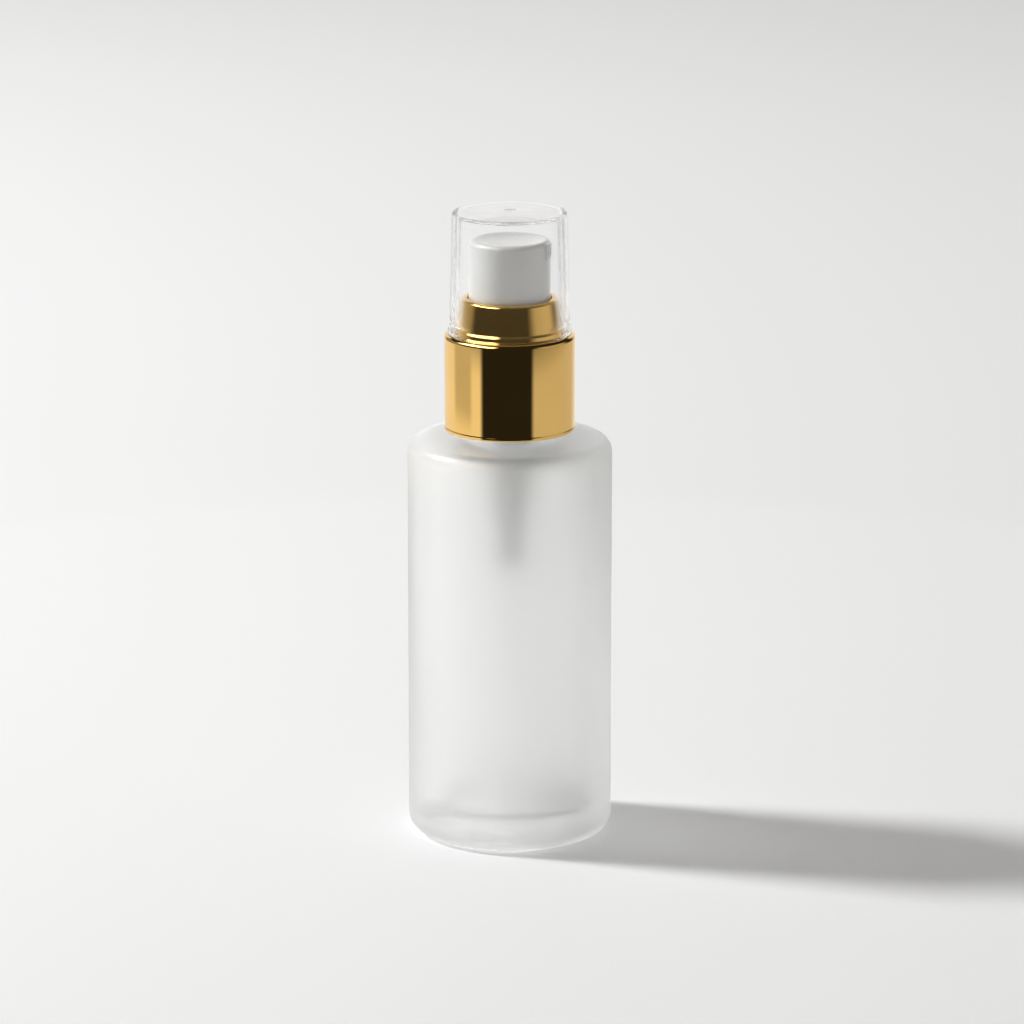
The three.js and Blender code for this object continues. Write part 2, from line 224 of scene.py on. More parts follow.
def turned(name, outline, sides=SIDES, ripple=None, paint=None):
    """Turns an outline about Z. It runs anticlockwise in the (radius, height) plane, and either starts
    and ends on the axis or is closed here. ripple(r, z, angle) gives a new radius, and paint(r, z) a
    material's number for the faces whose middle is there."""
    build = bmesh.new()
    rings = []
    for r, z in (tuple(p) for p in outline):
        if r < TINY:
            rings.append([build.verts.new((0, 0, z * MM))] * sides)
            continue
        ring = []
        for k in range(sides):
            angle = TAU * k / sides
            out = ripple(r, z, angle) if ripple else r
            place = (out * math.cos(angle) * MM, out * math.sin(angle) * MM, z * MM)
            ring.append(build.verts.new(place))
        rings.append(ring)
    pairs = list(zip(rings, rings[1:]))
    if outline[0][0] > TINY or outline[-1][0] > TINY:
        pairs.append((rings[-1], rings[0]))
    middles = [(Vector(a) + Vector(b)) / 2 for a, b in zip(outline, [*outline[1:], outline[0]])]
    for (lower, upper), middle in zip(pairs, middles):
        number = paint(middle.x, middle.y) if paint else 0
        for k in range(sides):
            after = (k + 1) % sides
            corners = [lower[k], lower[after], upper[after], upper[k]]
            unique = [v for i, v in enumerate(corners) if v not in corners[:i]]
            if len(unique) > 2:
                build.faces.new(unique).material_index = number
    return finished(built(build, name))


def swept(name, route, section_r, bore_r=0, sides=16):
    """A round bar, or a tube when bore_r is given, along a list of points, with closed ends."""
    build = bmesh.new()
    skins = [[], []] if bore_r else [[]]
    side = Vector((0, 1, 0))
    for i, point in enumerate(route):
        along = (route[min(i + 1, len(route) - 1)] - route[max(i - 1, 0)]).normalized()
        side = (side - along * side.dot(along)).normalized()
        up = along.cross(side)
        turns = [TAU * k / sides for k in range(sides)]
        spokes = [side * math.cos(turn) + up * math.sin(turn) for turn in turns]
        for skin, r in zip(skins, (section_r, bore_r)):
            skin.append([build.verts.new((point + spoke * r) * MM) for spoke in spokes])
    for lower, upper in zip(skins[0], skins[0][1:]):
        strip(build, lower, upper)
    if bore_r:
        for lower, upper in zip(skins[1], skins[1][1:]):
            strip(build, upper, lower)
        strip(build, skins[1][0], skins[0][0])
        strip(build, skins[0][-1], skins[1][-1])
    else:
        build.faces.new(skins[0][0][::-1])
        build.faces.new(skins[0][-1])
    return finished(built(build, name))


def eased(corners, fillet):
    """The same corners, each with a fillet unless it has its own."""
    return [corner if len(corner) > 2 else (*corner, fillet) for corner in corners]


def smoothstep(low_edge, high_edge, value):
    """0 below the low edge, 1 above the high one, and a smooth change between them."""
    t = min(1, max(0, (value - low_edge) / (high_edge - low_edge)))
    return t * t * (3 - 2 * t)


def thread_height(z, angle, start_z, turns, root_half, crest_half):
    """How far a screw thread stands up at this height and angle, from 0 to 1. It is twice root_half
    wide at its foot and twice crest_half at its top."""
    best = 0
    for lap in range(math.ceil(turns) + 1):
        turn = angle / TAU + lap
        if not 0 <= turn <= turns:
            continue
        fade = smoothstep(0, THREAD_FADE, min(turn, turns - turn))
        off = abs(z - start_z - THREAD_PITCH * turn)
        if off < root_half:
            best = max(best, fade * smoothstep(root_half, crest_half, off))
    return best


# ---------------------------------------------------------------- material helpers
NOISE_LOW, NOISE_HIGH = 0.3, 0.7  # nearly all values of a noise texture lie between these


class Recipe:
    """A material being built: its nodes, its Principled shader, and short ways to add to them."""

    def __init__(self, name):
        self.material = bpy.data.materials.new(name)
        self.material.use_nodes = True
        self.tree = self.material.node_tree
        self.shader = self.tree.nodes["Principled BSDF"]
        self.output = self.tree.nodes["Material Output"]
        self.surface = self.shader.outputs["BSDF"]
        self.place = self.tree.nodes.new("ShaderNodeTexCoord").outputs["Object"]

    def set(self, **values):
        """Sets the shader's own values, by their names with _ for each space."""
        for name, value in values.items():
            self.shader.inputs[name.replace("_", " ")].default_value = value
        return self

    def link(self, source, target):
        self.tree.links.new(source, target)

    def node(self, kind, **settings):
        made = self.tree.nodes.new("ShaderNode" + kind)
        for name, value in settings.items():
            setattr(made, name, value)
        return made

    def stretched(self, scale):
        mapping = self.node("Mapping")
        mapping.inputs["Scale"].default_value = scale
        self.link(self.place, mapping.inputs["Vector"])
        return mapping.outputs["Vector"]

    def noise(self, size_mm, detail=3, stretch=(1, 1, 1)):
        """Noise whose blotches are about size_mm across."""
        texture = self.node("TexNoise")
        texture.inputs["Scale"].default_value = 1 / (size_mm * MM)
        texture.inputs["Detail"].default_value = detail
        self.link(self.stretched(stretch), texture.inputs["Vector"])
        return texture.outputs["Fac"]

    def between(self, value, low_value, high_value, low_edge=NOISE_LOW, high_edge=NOISE_HIGH):
        """Maps a value between two edges, by default a noise's, to a range."""
        remap = self.node("MapRange")
        remap.inputs["From Min"].default_value = low_edge
        remap.inputs["From Max"].default_value = high_edge
        remap.inputs["To Min"].default_value = low_value
        remap.inputs["To Max"].default_value = high_value
        self.link(value, remap.inputs["Value"])
        return remap.outputs["Result"]

    def colours(self, value, first, second):
        """The base colour, from first to second as the value rises."""
        ramp = self.node("ValToRGB")
        ramp.color_ramp.elements[0].position = NOISE_LOW
        ramp.color_ramp.elements[0].color = (*first, 1)
        ramp.color_ramp.elements[1].position = NOISE_HIGH
        ramp.color_ramp.elements[1].color = (*second, 1)
        self.link(value, ramp.inputs["Fac"])
        self.link(ramp.outputs["Color"], self.shader.inputs["Base Color"])
        return self

    def rough(self, value, low_value, high_value):
        self.link(self.between(value, low_value, high_value), self.shader.inputs["Roughness"])
        return self

    def bumps(self, value, depth_mm, strength):
        bump = self.node("Bump")
        bump.inputs["Strength"].default_value = strength
        bump.inputs["Distance"].default_value = depth_mm * MM
        self.link(value, bump.inputs["Height"])
        self.link(bump.outputs["Normal"], self.shader.inputs["Normal"])
        return self

    def mixed(self, share, other):
        """Mixes another shader over the surface so far, by the share that a socket gives."""
        mix = self.node("MixShader")
        self.link(share, mix.inputs["Fac"])
        self.link(self.surface, mix.inputs[1])
        self.link(other, mix.inputs[2])
        self.surface = mix.outputs["Shader"]
        self.link(self.surface, self.output.inputs["Surface"])
        return self

    def scattering(self, share, colour):
        """Sends a share of the light on to the far side as a diffuse glow."""
        glow = self.node("BsdfTranslucent")
        glow.inputs["Color"].default_value = (*colour, 1)
        return self.mixed(share, glow.outputs["BSDF"])

    def edge_on(self, face_value, edge_value, low_edge=0.1, high_edge=0.9):
        """A value that changes from face_value, seen square on, to edge_value, seen edge on."""
        weight = self.node("LayerWeight")
        weight.inputs["Blend"].default_value = 0.5
        return self.between(weight.outputs["Facing"], face_value, edge_value, low_edge, high_edge)

    def by_height(self, low_value, high_value, low_mm, high_mm):
        """A value that changes smoothly between two heights above the floor."""
        split = self.node("SeparateXYZ")
        self.link(self.place, split.inputs["Vector"])
        value = self.between(split.outputs["Z"], low_value, high_value, low_mm * MM, high_mm * MM)
        value.node.interpolation_type = "SMOOTHSTEP"
        return value

    def open_to_lamps(self, share):
        """Lets a share of lamp light straight through, because a lens-true path to a lamp is rare.
        The share is a number or a socket."""
        clear = self.node("BsdfTransparent")
        if isinstance(share, float):
            clear.inputs["Color"].default_value = (share, share, share, 1)
        else:
            self.link(share, clear.inputs["Color"])
        return self.mixed(self.node("LightPath").outputs["Is Shadow Ray"], clear.outputs["BSDF"])


# ---------------------------------------------------------------- materials
def frosted_glass():
    """The etched outside of the bottle. It blurs what is behind it and glows with scattered light, more
    so edge on. The thick base is milkier, and more lamp light gets into it."""
    recipe = Recipe("frosted_glass").set(IOR=1.27, Coat_Weight=1.0, Coat_Roughness=0.27)
    recipe.colours(recipe.noise(9, detail=4), (0.98, 0.98, 0.975), (0.995, 0.995, 0.99))
    recipe.rough(recipe.noise(2.5, detail=5), 0.67, 0.75)
    recipe.bumps(recipe.noise(0.16, detail=2), depth_mm=0.01, strength=0.25)
    clear_above_base = recipe.by_height(0.6, 1.0, low_mm=3.6, high_mm=5.4)
    recipe.link(clear_above_base, recipe.shader.inputs["Transmission Weight"])
    milky_at_edges = recipe.edge_on(0.32, 0.8, low_edge=0.3, high_edge=0.8)
    recipe.scattering(milky_at_edges, (0.982, 0.988, 0.988))
    return recipe.open_to_lamps(recipe.by_height(0.4, 0.05, low_mm=8, high_mm=26)).material


def polished_glass():
    """The inside, the neck and the lip, which the etching bath doesn't reach."""
    recipe = Recipe("polished_glass").set(Transmission_Weight=1.0, IOR=1.27)
    recipe.colours(recipe.noise(14), (0.985, 0.99, 0.985), (0.992, 0.995, 0.992))
    recipe.rough(recipe.noise(4), 0.02, 0.06)
    recipe.bumps(recipe.noise(9, detail=1), depth_mm=0.12, strength=0.5)
    return recipe.open_to_lamps(0.95).material


def gold():
    """Polished aluminium with a gold anodised film and faint marks from polishing round the axis."""
    recipe = Recipe("polished_gold").set(Metallic=1.0, IOR=1.5)
    recipe.colours(recipe.noise(7, detail=3), (0.91, 0.58, 0.185), (0.94, 0.605, 0.2))
    recipe.rough(recipe.noise(0.5, detail=4, stretch=(0.15, 0.15, 1)), 0.03, 0.07)
    recipe.bumps(recipe.noise(5, detail=2), depth_mm=0.004, strength=0.3)
    return recipe.material


def clear_plastic():
    """Clear styrene of the overcap. Seen face on, its thin wall lets most light straight through. Seen
    edge on, it bends and mirrors what is round it."""
    recipe = Recipe("clear_styrene").set(Transmission_Weight=1.0, IOR=1.08)
    recipe.set(Coat_Weight=0.28, Coat_Roughness=0.03)
    recipe.colours(recipe.noise(10), (0.98, 0.983, 0.983), (0.99, 0.991, 0.991))
    recipe.rough(recipe.noise(3, detail=4), 0.0, 0.02)
    recipe.bumps(recipe.noise(9, detail=1), depth_mm=0.004, strength=0.15)
    solid_edge_on = recipe.edge_on(0.08, 0.88, low_edge=0.32, high_edge=0.72)
    recipe.link(solid_edge_on, recipe.shader.inputs["Alpha"])
    return recipe.open_to_lamps(0.93).material


def white_plastic(name, tone):
    """Glossy white polypropylene with the faint orange peel of a moulding. The tone is how white."""
    recipe = Recipe(name).set(IOR=1.49, Subsurface_Weight=0.12, Subsurface_Scale=0.6 * MM)
    recipe.set(Subsurface_Radius=(1.0, 0.9, 0.8))
    lighter = tone + 0.02
    recipe.colours(recipe.noise(6), (tone, tone, tone * 0.985), (lighter, lighter, tone + 0.005))
    recipe.rough(recipe.noise(2, detail=4), 0.23, 0.27)
    recipe.bumps(recipe.noise(1.4, detail=1), depth_mm=0.006, strength=0.12)
    return recipe.material


def natural_plastic():
    """Unpigmented, milky plastic of the pump's inner parts."""
    recipe = Recipe("natural_polyethylene").set(IOR=1.5, Transmission_Weight=0.35)
    recipe.colours(recipe.noise(4), (0.74, 0.755, 0.745), (0.8, 0.81, 0.8))
    recipe.rough(recipe.noise(1.5, detail=4), 0.35, 0.5)
    recipe.bumps(recipe.noise(0.5), depth_mm=0.005, strength=0.3)
    return recipe.material


def soft_plastic():
    """Waxy polyethylene of the piston."""
    recipe = Recipe("soft_polyethylene").set(IOR=1.5, Subsurface_Weight=0.3, Subsurface_Scale=0.8 * MM)
    recipe.colours(recipe.noise(3), (0.72, 0.73, 0.72), (0.78, 0.785, 0.775))
    recipe.rough(recipe.noise(1.2, detail=4), 0.4, 0.55)
    recipe.bumps(recipe.noise(0.4), depth_mm=0.006, strength=0.4)
    return recipe.material


def clear_tubing():
    """Thin, almost clear polyethylene of the dip tube."""
    recipe = Recipe("clear_tubing").set(IOR=1.1, Transmission_Weight=1.0)
    recipe.colours(recipe.noise(4), (0.95, 0.96, 0.955), (0.97, 0.975, 0.97))
    recipe.rough(recipe.noise(1.5, detail=4), 0.12, 0.22)
    recipe.bumps(recipe.noise(0.8), depth_mm=0.005, strength=0.3)
    return recipe.open_to_lamps(0.9).material


def steel():
    """Drawn steel of the spring and the ball."""
    recipe = Recipe("drawn_steel").set(Metallic=1.0)
    recipe.colours(recipe.noise(1.2), (0.56, 0.57, 0.58), (0.64, 0.65, 0.66))
    recipe.rough(recipe.noise(0.3, detail=4), 0.16, 0.3)
    recipe.bumps(recipe.noise(0.12), depth_mm=0.003, strength=0.4)
    return recipe.material


def foam():
    """Foamed polyethylene of the gasket, with its fine open cells."""
    recipe = Recipe("foamed_polyethylene")
    recipe.colours(recipe.noise(0.4), (0.84, 0.84, 0.82), (0.9, 0.9, 0.88))
    recipe.rough(recipe.noise(0.5), 0.75, 0.95)
    recipe.bumps(recipe.noise(0.18, detail=2), depth_mm=0.04, strength=0.6)
    return recipe.material


def pale_floor():
    """Matt white paper, with painted light: its colour grows lighter far behind the bottle, standing in
    for the brighter light that falls on the floor there.
    """
    recipe = Recipe("pale_floor").set(Specular_IOR_Level=0.2)
    near_m, far_m = -0.1, 1.1
    split = recipe.node("SeparateXYZ")
    recipe.link(recipe.place, split.inputs["Vector"])
    # painted light: the floor's colour lightens with distance behind the bottle in place of brighter
    # lighting there
    behind = recipe.between(split.outputs["Y"], 0, 1, near_m, far_m)
    recipe.colours(behind, (0.874, 0.876, 0.876), (0.945, 0.947, 0.947))
    recipe.rough(recipe.noise(3, detail=3), 0.6, 0.75)
    recipe.bumps(recipe.noise(0.5, detail=3), depth_mm=0.01, strength=0.15)
    return recipe.material


FROSTED = frosted_glass()
POLISHED = polished_glass()
GOLD = gold()
CLEAR = clear_plastic()
WHITE = white_plastic("glossy_white", 0.7)
CLOSURE_WHITE = white_plastic("closure_white", 0.78)
NATURAL = natural_plastic()
SOFT = soft_plastic()
TUBING = clear_tubing()
STEEL = steel()
FOAM = foam()


# ---------------------------------------------------------------- glass bottle
def make_bottle():
    """The glass: etched outside, polished inside and on the neck, with a push-up under its base."""
    inner_r = BODY_R - BODY_WALL
    inner_top = 71.23
    push_up, foot_r, heel_r = 0.7, 12.0, 3.2
    neck_low, neck_high = 77.4, NECK_TOP - 0.9
    wavy_low, wavy_high, wavy_row, waviness = 12, 67, 2.5, 0.16
    wave_round, wave_long = 1.3, 24
    outline = rounded([
        (0, push_up), (3.5, push_up - 0.02), (6.6, push_up - 0.2), (foot_r, 0.0, 4), (BODY_R, 0, heel_r),
        (BODY_R, SHOULDER_EDGE_Z, SHOULDER_R), (NECK_R, SHOULDER_INNER_Z, NECK_COVE_R),
        *divided((NECK_R, neck_low), (NECK_R, neck_high), THREAD_ROW),
        (NECK_R, NECK_TOP, 0.45), (NECK_BORE_R, NECK_TOP, 0.45),
        (NECK_BORE_R, inner_top + 0.63, 2.4), (inner_r, inner_top, 2.6),
        *divided((inner_r, wavy_high), (inner_r, wavy_low), wavy_row),
        (inner_r, BASE_THICKNESS, 3.4), (6, BASE_THICKNESS - 0.15, 8), (0, BASE_THICKNESS + 0.1),
    ], steps=9)

    def shape(r, z, angle):
        if abs(r - NECK_R) < TINY and neck_low - 0.1 < z < neck_high + 0.1:
            height = thread_height(z, angle, THREAD_Z, THREAD_TURNS, root_half=0.9, crest_half=0.4)
            return r + (THREAD_R - NECK_R) * height
        inside = r < inner_r + 0.01 and BASE_THICKNESS + 0.5 < z < 71
        if inside and r > NECK_BORE_R:  # the blown wall is a little uneven on the inside
            place = Vector((math.cos(angle) * wave_round, math.sin(angle) * wave_round, z / wave_long))
            return r + waviness * noise.noise(place)
        return r

    def paint(r, z):
        under = z < BASE_THICKNESS - 0.4
        on_shoulder = z > 72.6 and r > NECK_R + 0.02
        etched = (under or r > inner_r + 0.2 or on_shoulder) and z < neck_low - 0.1
        return 0 if etched else 1

    mesh = turned("bottle_glass", outline, ripple=shape, paint=paint)
    new_piece("bottle_glass", mesh, "bottle_body", "frosted_glass", "bottle", FROSTED, POLISHED)


# ---------------------------------------------------------------- collar
def make_collar_shell():
    """The drawn gold shell: a beaded foot, a ledge for the overcap, and the tapered ring."""
    t = SHELL_WALL
    lip_r = HEAD_R + 0.3
    outline = rounded([
        (COLLAR_R - t, COLLAR_BOTTOM + 0.45, 0.1), (COLLAR_R - t - 0.05, COLLAR_BOTTOM, 0.16),
        (COLLAR_R, COLLAR_BOTTOM, 0.2), (COLLAR_R, COLLAR_BOTTOM + 0.55, 0.12),
        (COLLAR_R - 0.06, COLLAR_BOTTOM + 0.7, 0.3),
        (COLLAR_R - 0.03, LEDGE_Z, 0.75), (RING_FOOT_R + 0.3, LEDGE_Z, 0.22),
        (RING_FOOT_R + 0.16, LEDGE_Z + 0.75, 0.3), (RING_FOOT_R - 0.1, LEDGE_Z + 1.15, 0.35),
        (RING_TOP_R, RING_TOP, 0.62), (lip_r, RING_TOP, 0.14), (lip_r, RING_TOP - t, 0.14),
        (RING_TOP_R - t, RING_TOP - t, 0.3), (RING_FOOT_R - t - 0.1, LEDGE_Z + 0.9, 0.3),
        (RING_FOOT_R - 0.15, LEDGE_Z - t, 0.3), (COLLAR_R - t, LEDGE_Z - t, 0.45),
    ], closed=True, steps=8)
    mesh = turned("collar_gold", outline)
    new_piece("collar_gold", mesh, "collar_body", "gold_aluminium", "collar_shell", GOLD)


def make_closure():
    """The moulded closure in the shell: its thread, the shelf that clamps the pump, and a sleeve."""
    outer_r = radius("closure")
    bottom = low("closure")
    sleeve_top = high("closure")
    bore_r = THREAD_R + 0.25
    thread_low, thread_high = 76.0, 83.5
    shelf, shelf_top = 86.3, 87.6
    wall_top = LEDGE_Z - SHELL_WALL - 0.1
    foot_r = RING_FOOT_R - SHELL_WALL - 0.5
    top_r = RING_TOP_R - SHELL_WALL - 0.1
    turret_r = radius("housing_cap") + 0.3
    guide_r = HEAD_R + 0.4
    outline = rounded([
        (bore_r, bottom, 0.15), (outer_r, bottom, 0.15), (outer_r, wall_top, 0.7),
        (outer_r - 1.1, wall_top, 0.15), (outer_r - 1.1, shelf_top, 0.25), (foot_r, shelf_top, 0.25),
        (foot_r, LEDGE_Z, 0.2), (top_r, sleeve_top, 0.1), (guide_r, sleeve_top, 0.1),
        (guide_r, shelf_top, 0.2), (turret_r, shelf_top, 0.2), (turret_r, shelf, 0.15),
        (bore_r, shelf, 0.2),
        *divided((bore_r, thread_high), (bore_r, thread_low), THREAD_ROW),
    ], closed=True, steps=3)

    def shape(r, z, angle):
        if abs(r - bore_r) < TINY and thread_low <= z < thread_high + 0.1:
            height = thread_height(z, angle, THREAD_Z - 1.4, turns=1, root_half=0.65, crest_half=0.25)
            return r - (bore_r - NECK_R - 0.3) * height
        return r

    mesh = turned("closure_moulding", outline, sides=144, ripple=shape)
    new_piece("closure_moulding", mesh, "collar_body", "white_plastic", "closure", CLOSURE_WHITE)


# ---------------------------------------------------------------- overcap
def make_overcap():
    """The overcap, with a snap bead inside its foot and the mark of the moulding gate on its roof."""
    roof = CAP_TOP - 0.85
    inner_high_r = CAP_HIGH_R - CAP_WALL
    inner_low_r = CAP_LOW_R - CAP_WALL
    bead_r = RING_FOOT_R + 0.08
    dome = 0.2
    gate_r, gate_floor = 0.8, CAP_TOP + dome - 0.14
    outline = rounded([
        (0, roof + 0.05), (inner_high_r, roof, 0.45), (inner_low_r, CAP_BOTTOM + 2.0, 0.5),
        (bead_r, CAP_BOTTOM + 1.15, 0.35), (inner_low_r + 0.1, CAP_BOTTOM + 0.4, 0.2),
        (inner_low_r + 0.2, CAP_BOTTOM, 0.12), (CAP_FOOT_R, CAP_BOTTOM, 0.16),
        (CAP_FOOT_R, CAP_BOTTOM + 0.75, 0.3), (CAP_LOW_R, CAP_BOTTOM + 1.7, 1.2),
        (CAP_HIGH_R, CAP_TOP - 0.05, 0.42), (gate_r * 1.6, CAP_TOP + dome * 0.8, 0.2),
        (gate_r, gate_floor, 0.1), (gate_r * 0.4, gate_floor, 0.08),
        (gate_r * 0.22, CAP_TOP + dome, 0.06), (0, CAP_TOP + dome),
    ], steps=8)
    mesh = turned("overcap_clear", outline)
    new_piece("overcap_clear", mesh, "overcap_body", "clear_plastic", "overcap", CLEAR)


# ---------------------------------------------------------------- pump head
PAD_PROUD = 0.22  # how far the nozzle's pad stands out from the head
PAD_HALF = 1.2  # half the pad's width
ARC_STEPS = 24  # in half a circle


def cut(target, tool_mesh, operation):
    """Joins another closed mesh to a piece's mesh, or cuts it away."""
    tool = placed("tool", tool_mesh)
    modifier = target.modifiers.new("cut", "BOOLEAN")
    modifier.operation = operation
    modifier.object = tool
    modifier.solver = "EXACT"
    ready = target.evaluated_get(bpy.context.evaluated_depsgraph_get())
    made = bpy.data.meshes.new_from_object(ready)
    target.modifiers.remove(modifier)
    bpy.data.objects.remove(tool)
    target.data = finished(made)


def lying(mesh, x, z):
    """Lays a mesh that stands on Z = 0 along +X, starting at x and centred on the height z."""
    mesh.transform(Matrix.Translation((x * MM, 0, z * MM)) @ Matrix.Rotation(math.pi / 2, 4, "Y"))
    return mesh


def pad_mesh():
    """The flat pad round the nozzle: half round below, square above, with soft edges at its face."""
    top = HEAD_TOP - 0.3
    face = HEAD_R + PAD_PROUD
    build = bmesh.new()
    rings = []
    for x, inset in ((face - 1.2, 0), (face - 0.1, 0), (face - 0.03, 0.03), (face, 0.1)):
        half = PAD_HALF - inset
        ring = [(half, top - inset), (-half, top - inset)]
        for k in range(ARC_STEPS + 1):
            turn = math.pi * k / ARC_STEPS
            ring.append((-half * math.cos(turn), NOZZLE_Z - half * math.sin(turn)))
        rings.append([build.verts.new((x * MM, y * MM, z * MM)) for y, z in ring])
    for near, far in zip(rings, rings[1:]):
        strip(build, near, far)
    build.faces.new(rings[0][::-1])
    build.faces.new(rings[-1])
    bmesh.ops.recalc_face_normals(build, faces=build.faces)
    return built(build, "pad")


def make_actuator():
    """The head: a hollow cap with a dished top, a boss for the stem, and the nozzle's pad and seat."""
    wall = 1.1
    roof = HEAD_TOP - 1.6
    boss_r, boss_bottom = 3.1, 98.5
    socket_r, socket_top = 1.95, 104.8
    dish_r, dish = 6.2, 0.5
    outline = rounded([
        (0, socket_top), (socket_r, socket_top, 0.15), (socket_r, boss_bottom, 0.15),
        (boss_r, boss_bottom, 0.15), (boss_r, roof, 0.4), (HEAD_R - wall, roof, 0.4),
        (HEAD_R - wall, HEAD_BOTTOM, 0.25),
        (HEAD_R, HEAD_BOTTOM, 0.25), (HEAD_R, HEAD_TOP, 0.9), (dish_r, HEAD_TOP, 0.8),
        (dish_r * 0.72, HEAD_TOP - dish * 0.62, 3), (dish_r * 0.35, HEAD_TOP - dish, 3),
        (0, HEAD_TOP - dish),
    ], steps=9)
    mesh = turned("actuator_white", outline, sides=128)
    piece = new_piece("actuator_white", mesh, "head_body", "white_plastic", "actuator")
    seat_r, seat_depth, seat_length = NOZZLE_R + 0.06, 1.6, 3
    seat_outline = rounded([(0, 0), (seat_r, 0), (seat_r, seat_length), (0, seat_length)])
    seat = turned("seat", seat_outline, sides=48)
    cut(piece, pad_mesh(), "UNION")
    cut(piece, lying(seat, HEAD_R + PAD_PROUD - seat_depth, NOZZLE_Z), "DIFFERENCE")
    piece.data.materials.clear()
    piece.data.materials.append(WHITE)


def make_nozzle():
    """The orifice cup, with a shallow cone round its hole."""
    length, face, inside_r = 1.5, 0.5, 0.6
    orifice_r, cone_r = 0.28, 0.5
    outline = rounded([
        (orifice_r, 0.16, 0.05), (cone_r, 0, 0.05), (NOZZLE_R, 0, 0.08), (NOZZLE_R, length, 0.05),
        (inside_r, length, 0.05), (inside_r, face, 0.1), (orifice_r, face, 0.05),
    ], closed=True, steps=4)
    mesh = turned("nozzle_insert", outline, sides=64)
    place = Matrix.Translation(((HEAD_R + 0.18) * MM, 0, NOZZLE_Z * MM))
    mesh.transform(place @ Matrix.Rotation(-math.pi / 2, 4, "Y"))
    new_piece("nozzle_insert_white", mesh, "head_body", "white_plastic", "nozzle_insert", WHITE)


# ---------------------------------------------------------------- pump below the collar
CYLINDER_R = 4.3
CYLINDER_BORE_R = 3.3
CYLINDER_FOOT = 60.9  # the ledge that the spring stands on
FLANGE_TOP = 86.2
TURRET_R = 6.0
TURRET_TOP = 89.0
TURRET_WALL = 0.9
STEM_R = 1.85
STEM_BORE_R = 0.95
STEM_FOOT_R = 2.6
STEM_FOOT_Z = 79.0
STEM_STOP_Z = 80.2  # top of the stem's foot, which stops against the guide
ROD_R = 0.7
ROD_HEAD_R = 2.8
ROD_HEAD_Z = 71.8  # underside of the valve head at the rod's lower end
BALL_R = 1.5
BALL_Z = 57.82  # its middle, on its seat
TUBE_R = 1.55
TUBE_BORE_R = 1.1


def small_part(node, corners, body, slot, material, fillet=0.1):
    """A turned part whose corners are all softened."""
    outline = rounded(eased(corners, fillet), closed=corners[0][0] > 0, steps=3)
    name = node + "_fine"
    new_piece(name, turned(name, outline, sides=96), body, slot, node, material)


def make_housing():
    """The cylinder with its flange and turret above, and the ball's chamber and tube socket below."""
    flange_r = radius("pump_housing")
    flange_bottom = 85.4
    bottom = low("pump_housing")
    socket_r, socket_top, spigot_r = TUBE_R + 0.1, 55.6, 2.75
    lip_r, chamber_r, chamber_z = 1.3, BALL_R + 0.4, 57.5  # the lip keeps the ball in its chamber
    throat_r, throat_z = 0.95, 56.6
    small_part("pump_housing", [
        (socket_r, bottom), (spigot_r - 0.3, bottom), (spigot_r, bottom + 0.6), (spigot_r, 58.6, 1),
        (CYLINDER_R, 62.2, 1), (CYLINDER_R, flange_bottom), (flange_r, flange_bottom),
        (flange_r, FLANGE_TOP), (TURRET_R, FLANGE_TOP), (TURRET_R, TURRET_TOP),
        (TURRET_R - TURRET_WALL, TURRET_TOP),
        (TURRET_R - TURRET_WALL, FLANGE_TOP), (CYLINDER_BORE_R, FLANGE_TOP),
        (CYLINDER_BORE_R, CYLINDER_FOOT), (lip_r, CYLINDER_FOOT), (lip_r, CYLINDER_FOOT - 1.2),
        (chamber_r, CYLINDER_FOOT - 1.5), (chamber_r, chamber_z), (throat_r, throat_z),
        (throat_r, socket_top), (socket_r, socket_top),
    ], "pump_body", "natural_plastic", NATURAL)


def make_housing_cap():
    """The cap that closes the cylinder and guides the stem."""
    gap, roof = 0.1, 1.2
    bore_r, guide_r, plug_r = STEM_R + 0.15, CYLINDER_BORE_R - gap, TURRET_R - TURRET_WALL - gap
    guide_bottom, plug_bottom = STEM_STOP_Z + gap, FLANGE_TOP + gap
    small_part("housing_cap", [
        (bore_r, guide_bottom), (guide_r, guide_bottom), (guide_r, plug_bottom), (plug_r, plug_bottom),
        (plug_r, TURRET_TOP + gap), (TURRET_R, TURRET_TOP + gap), (TURRET_R, TURRET_TOP + roof, 0.35),
        (bore_r, TURRET_TOP + roof, 0.2),
    ], "pump_body", "white_plastic", CLOSURE_WHITE)


def make_gasket():
    """The foam washer under the flange."""
    outer_r, bottom, top = radius("neck_gasket"), low("neck_gasket"), high("neck_gasket")
    inner_r = CYLINDER_R + 0.1
    small_part("neck_gasket", [
        (inner_r, bottom), (outer_r, bottom), (outer_r, top), (inner_r, top),
    ], "pump_body", "gasket_foam", FOAM, fillet=0.15)


def make_stem():
    """The hollow stem, with a foot that stops it leaving the housing."""
    top = high("stem")
    small_part("stem", [
        (STEM_BORE_R, STEM_FOOT_Z), (STEM_FOOT_R, STEM_FOOT_Z), (STEM_FOOT_R, STEM_STOP_Z),
        (STEM_R, STEM_STOP_Z, 0.15), (STEM_R, top, 0.3), (STEM_BORE_R, top),
    ], "head_body", "natural_plastic", NATURAL)


def make_rod():
    """The rod in the stem. Its head carries the piston's lower side and, below, centres the spring."""
    top = high("piston_rod")
    pin_bottom, cone_top = ROD_HEAD_Z - 1.2, ROD_HEAD_Z + 2.1
    small_part("piston_rod", [
        (0, pin_bottom), (1.3, pin_bottom), (1.5, ROD_HEAD_Z), (ROD_HEAD_R, ROD_HEAD_Z),
        (ROD_HEAD_R, ROD_HEAD_Z + 1.0, 0.3), (1.2, cone_top, 0.4), (ROD_R, cone_top, 0.2), (ROD_R, top),
        (0, top),
    ], "head_body", "natural_plastic", NATURAL, fillet=0.08)


